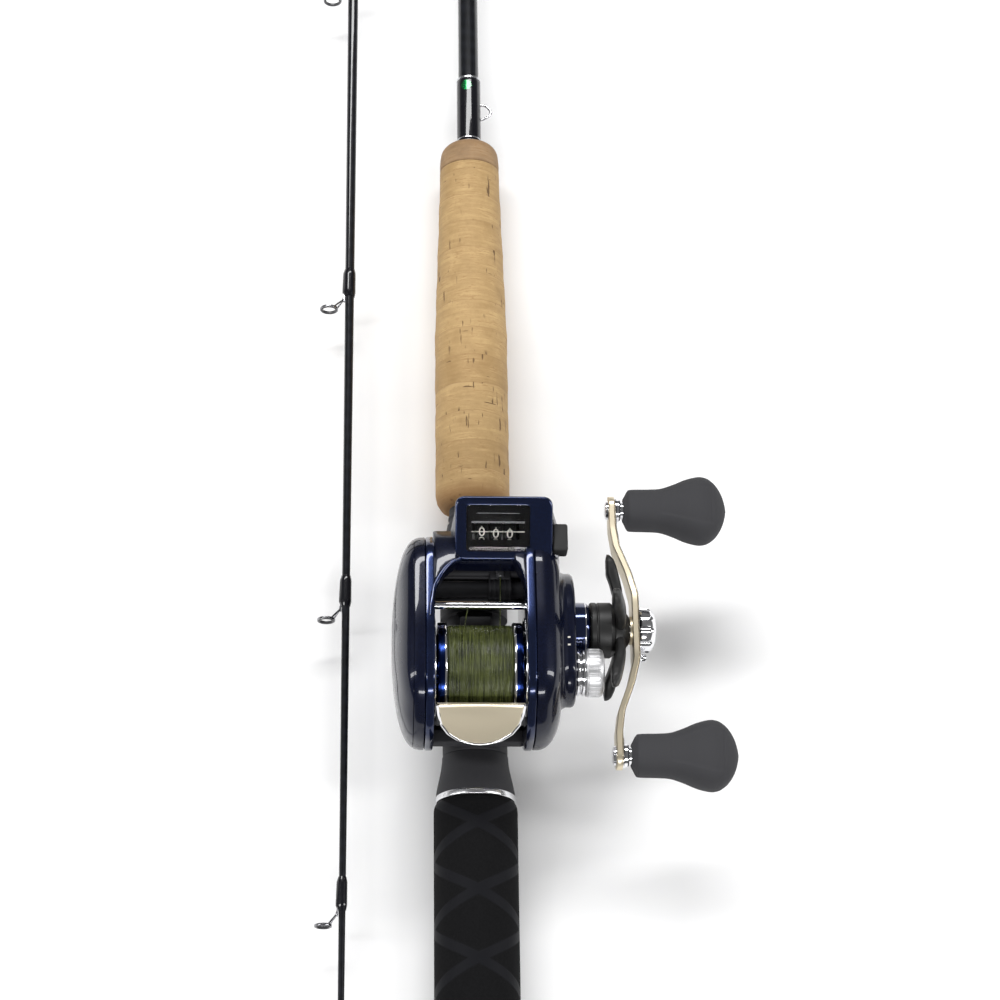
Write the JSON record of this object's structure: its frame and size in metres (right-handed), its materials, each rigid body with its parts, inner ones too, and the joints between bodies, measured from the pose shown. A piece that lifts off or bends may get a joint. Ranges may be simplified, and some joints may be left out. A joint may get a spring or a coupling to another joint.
{
  "type": "fishing rod and reel",
  "caption": "Two-piece casting rod with cork foregrip and foam rear grip, tip section laid alongside, and a line-counter baitcasting reel clamped in the seat.",
  "frame": {"origin": "middle of the rear grip, on the axis of the butt section", "axes": "+Y along the rod from the butt cap toward the ferrule, +Z from the rod toward the reel, +X toward the crank"},
  "size_m": [0.1624, 1.168, 0.0801],
  "materials": {
    "graphite_blank": "deep black gloss lacquer over graphite",
    "eva_foam": "matte black foam with an embossed diamond line",
    "cap_rubber": "matte black rubber",
    "satin_metal": "satin silver",
    "seat_black": "satin black moulded graphite composite",
    "cork": "natural cork rings with dark pits",
    "cork_composite": "dark composite cork",
    "thread_wrap": "black thread under clear epoxy",
    "guide_frame": "dark polished stainless wire",
    "guide_ceramic": "polished dark ceramic",
    "reel_blue": "deep metallic navy lacquer",
    "reel_black": "satin black",
    "window": "tinted clear plastic",
    "digit_black": "black drums with pale numerals",
    "button_black": "satin black moulding",
    "steel": "bright steel",
    "chrome": "mirror chrome",
    "champagne": "polished champagne anodised",
    "spool_blue": "bright blue anodised, polished rims",
    "braid": "olive braided line, closely wound",
    "brass": "machined brass",
    "nylon": "pale nylon",
    "washer_fibre": "woven carbon fibre",
    "star_black": "satin black coated metal",
    "knob_rubber": "soft matte black rubber"
  },
  "bodies": {
    "rod": {"butt_blank": "graphite_blank", "butt_cap": "cap_rubber", "rear_grip": "eva_foam", "trim_rings": "satin_metal", "reel_seat": "seat_black", "fixed_hood": "seat_black", "foregrip": "cork", "foregrip_cap": "cork_composite", "butt_wraps": "thread_wrap", "hook_keeper": "steel", "butt_guide_frames": "guide_frame", "butt_guide_rings": "guide_ceramic", "reel_frame": "reel_blue", "reel_foot": "reel_black", "reel_screws": "steel", "palm_side_cover": "reel_blue", "gear_side_cover": "reel_blue", "counter_housing": "reel_blue", "counter_window": "window", "counter_axle": "steel", "reset_spring": "steel", "guard_bar": "chrome", "spool_bearings": "steel", "yoke_springs": "steel", "levelwind_rails": "reel_black", "anti_reverse_bearing": "steel", "bearing_collar": "spool_blue"},
    "tip_section": {"tip_blank": "graphite_blank", "tip_guide_frames": "guide_frame", "tip_guide_rings": "guide_ceramic", "tip_wraps": "thread_wrap", "tip_top": "guide_frame"},
    "hood_slider": {"sliding_hood": "seat_black"},
    "lock_ring": {"lock_nut": "seat_black"},
    "spool_group": {"spool_shaft": "steel", "spool": "spool_blue", "fishing_line": "braid", "brake_rotor": "reel_black"},
    "yoke": {"clutch_yoke": "steel"},
    "pinion": {"pinion_gear": "brass"},
    "thumb_release": {"thumb_bar": "champagne"},
    "feed_worm": {"levelwind_worm": "steel", "worm_gear": "nylon"},
    "line_carriage": {"line_guide": "reel_black"},
    "crank": {"drive_shaft": "steel", "drive_gear": "brass", "feed_gear": "brass", "drag_washers": "washer_fibre", "handle_arm": "champagne", "handle_nut": "chrome", "knob_posts": "steel"},
    "star": {"star_drag": "star_black", "star_hub": "star_black"},
    "front_knob": {"knob_front": "knob_rubber"},
    "rear_knob": {"knob_rear": "knob_rubber"},
    "tension_cap": {"tension_knob": "satin_metal"},
    "units": {"units_wheel": "digit_black"},
    "tens": {"tens_wheel": "digit_black"},
    "hundreds": {"hundreds_wheel": "digit_black"},
    "reset": {"reset_button": "button_black"}
  },
  "joints": [
    {"name": "crank_turn", "type": "hinge", "parent": "rod", "child": "crank", "pos_m": [0, 0.1716, 0.03046], "axis": [1, 0, 0], "continuous": true},
    {"name": "spool_spin", "type": "hinge", "parent": "rod", "child": "spool_group", "pos_m": [0, 0.152, 0.038], "axis": [1, 0, 0], "continuous": true},
    {"name": "thumb_press", "type": "slide", "parent": "rod", "child": "thumb_release", "axis": [0, -0.5421, -0.8403], "range_m": [0, 0.004], "stiffness_N_per_m": 400, "springref_m": -0.002},
    {"name": "yoke_shift", "type": "slide", "parent": "rod", "child": "yoke", "axis": [1, 0, 0], "range_m": [0, 0.0012], "deforming": ["yoke_springs"]},
    {"name": "pinion_spin", "type": "hinge", "parent": "yoke", "child": "pinion", "pos_m": [0, 0.152, 0.038], "axis": [1, 0, 0], "continuous": true},
    {"name": "worm_spin", "type": "hinge", "parent": "rod", "child": "feed_worm", "pos_m": [0, 0.1855, 0.03673], "axis": [1, 0, 0], "continuous": true},
    {"name": "carriage_travel", "type": "slide", "parent": "rod", "child": "line_carriage", "axis": [1, 0, 0], "range_m": [-0.0185, 0.0022]},
    {"name": "star_turn", "type": "hinge", "parent": "crank", "child": "star", "pos_m": [0, 0.1716, 0.03046], "axis": [1, 0, 0], "range_deg": [-180, 360]},
    {"name": "front_knob_spin", "type": "hinge", "parent": "crank", "child": "front_knob", "pos_m": [0, 0.2211, 0.03046], "axis": [1, 0, 0], "continuous": true},
    {"name": "rear_knob_spin", "type": "hinge", "parent": "crank", "child": "rear_knob", "pos_m": [0, 0.1221, 0.03046], "axis": [1, 0, 0], "continuous": true},
    {"name": "tension_turn", "type": "hinge", "parent": "rod", "child": "tension_cap", "pos_m": [0, 0.152, 0.038], "axis": [1, 0, 0], "range_deg": [-180, 360]},
    {"name": "units_spin", "type": "hinge", "parent": "rod", "child": "units", "pos_m": [0.0059, 0.2028, 0.0525], "axis": [1, 0, 0], "continuous": true},
    {"name": "tens_spin", "type": "hinge", "parent": "rod", "child": "tens", "pos_m": [0.0059, 0.2028, 0.0525], "axis": [1, 0, 0], "continuous": true},
    {"name": "hundreds_spin", "type": "hinge", "parent": "rod", "child": "hundreds", "pos_m": [0.0059, 0.2028, 0.0525], "axis": [1, 0, 0], "continuous": true},
    {"name": "reset_press", "type": "slide", "parent": "rod", "child": "reset", "axis": [-1, 0, 0], "range_m": [0, 0.0018], "stiffness_N_per_m": 300, "springref_m": -0.001, "deforming": ["reset_spring"]},
    {"name": "nut_turn", "type": "hinge", "parent": "hood_slider", "child": "lock_ring", "pos_m": [0, 0.2, 0], "axis": [0, 1, 0], "range_deg": [0, 720]},
    {"name": "hood_slide", "type": "slide", "parent": "rod", "child": "hood_slider", "axis": [0, 1, 0], "range_m": [0, 0.006]},
    {"name": "tip_lift", "type": "slide", "parent": "rod", "child": "tip_section", "axis": [0, 0, 1], "range_m": [0, 0.15]}
  ],
  "couplings": [
    {"joint": "spool_spin", "follows": "crank_turn", "ratio": -6},
    {"joint": "pinion_spin", "follows": "crank_turn", "ratio": -6},
    {"joint": "worm_spin", "follows": "crank_turn", "ratio": -1.2593},
    {"joint": "units_spin", "follows": "crank_turn", "ratio": -0.5},
    {"joint": "tens_spin", "follows": "crank_turn", "ratio": -0.05},
    {"joint": "hundreds_spin", "follows": "crank_turn", "ratio": -0.005},
    {"joint": "yoke_shift", "follows": "thumb_press", "ratio": 0.3},
    {"joint": "hood_slide", "follows": "nut_turn", "m_per_rad": 0.00047746}
  ]
}
